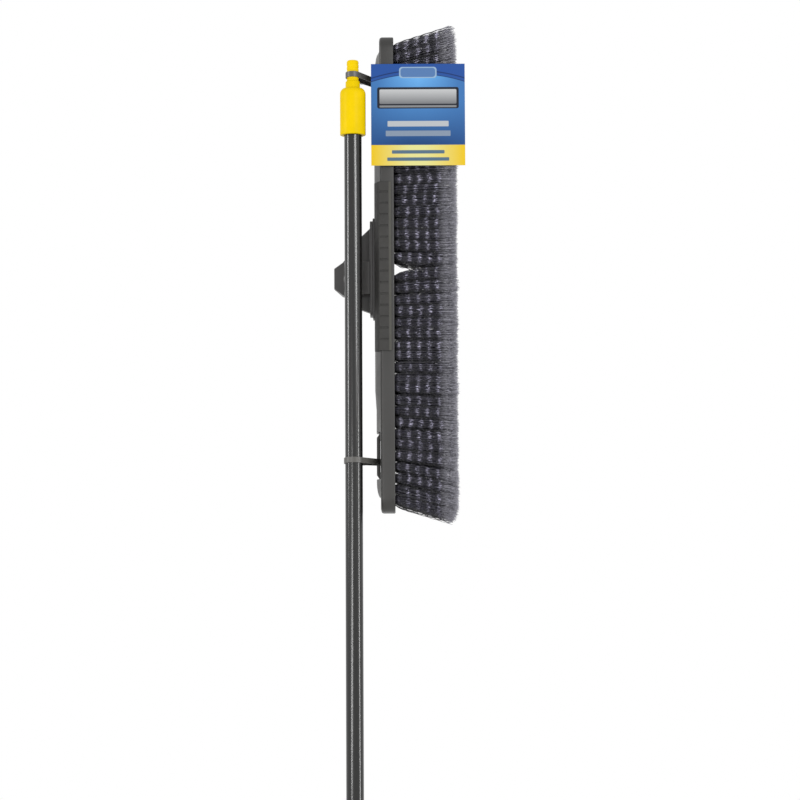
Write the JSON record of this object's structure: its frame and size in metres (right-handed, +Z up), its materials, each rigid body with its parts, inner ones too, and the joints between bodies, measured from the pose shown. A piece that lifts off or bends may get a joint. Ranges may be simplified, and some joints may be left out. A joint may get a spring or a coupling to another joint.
{
  "type": "push broom",
  "caption": "Push broom with a long moulded bristle block, one slanted threaded handle socket, and a loose threaded steel handle strapped alongside, with a folded card label.",
  "frame": {"origin": "the underside of the upper tie bar, 64.5 mm from the block's end and at the middle of the bar's width, where a display hook or strap holds the head up", "axes": "+Z up along the block and the handle, +X from the block to the bristle tips, -Y the side that the handle lies on"},
  "size_m": [0.1679, 0.0891, 1.5725],
  "materials": {
    "block_plastic": "satin",
    "cover_plastic": "satin",
    "pad_rubber": "matte",
    "socket_plastic": "satin",
    "screw_steel": "zinc plated",
    "bristle_fibre": "crimped filament, flagged tips",
    "wire_steel": "drawn",
    "handle_paint": "gloss",
    "connector_plastic": "semi-gloss",
    "cap_plastic": "satin",
    "tie_plastic": "satin",
    "printed_card": "printed and varnished"
  },
  "bodies": {
    "head": {"block_body": "block_plastic", "block_cover": "cover_plastic", "side_pad_near": "pad_rubber", "side_pad_far": "pad_rubber", "handle_socket": "socket_plastic", "cover_screw_1": "screw_steel", "cover_screw_2": "screw_steel", "cover_screw_3": "screw_steel", "cover_screw_4": "screw_steel", "cover_screw_5": "screw_steel", "cover_screw_6": "screw_steel", "socket_screw_1": "screw_steel", "socket_screw_2": "screw_steel", "socket_screw_3": "screw_steel", "socket_screw_4": "screw_steel", "bristle_row_1": "bristle_fibre", "bristle_row_2": "bristle_fibre", "bristle_row_3": "bristle_fibre", "bristle_row_4": "bristle_fibre", "bristle_row_5": "bristle_fibre", "anchor_wire_1": "wire_steel", "anchor_wire_2": "wire_steel", "anchor_wire_3": "wire_steel", "anchor_wire_4": "wire_steel", "anchor_wire_5": "wire_steel", "tie_upper": "tie_plastic", "tie_lower": "tie_plastic", "label_back": "printed_card"},
    "handle": {"handle_tube": "handle_paint", "threaded_connector": "connector_plastic", "hang_cap": "cap_plastic"},
    "label_flap": {"label_front": "printed_card"}
  },
  "joints": [
    {"name": "handle_slide", "type": "slide", "parent": "head", "child": "handle", "axis": [0, 0, 1], "range_m": [-0.405, 0]},
    {"name": "label_fold", "type": "hinge", "parent": "head", "child": "label_flap", "pos_m": [0.1099, -0.0394, -0.0401], "axis": [0, 0, 1], "range_deg": [0, 120]}
  ]
}
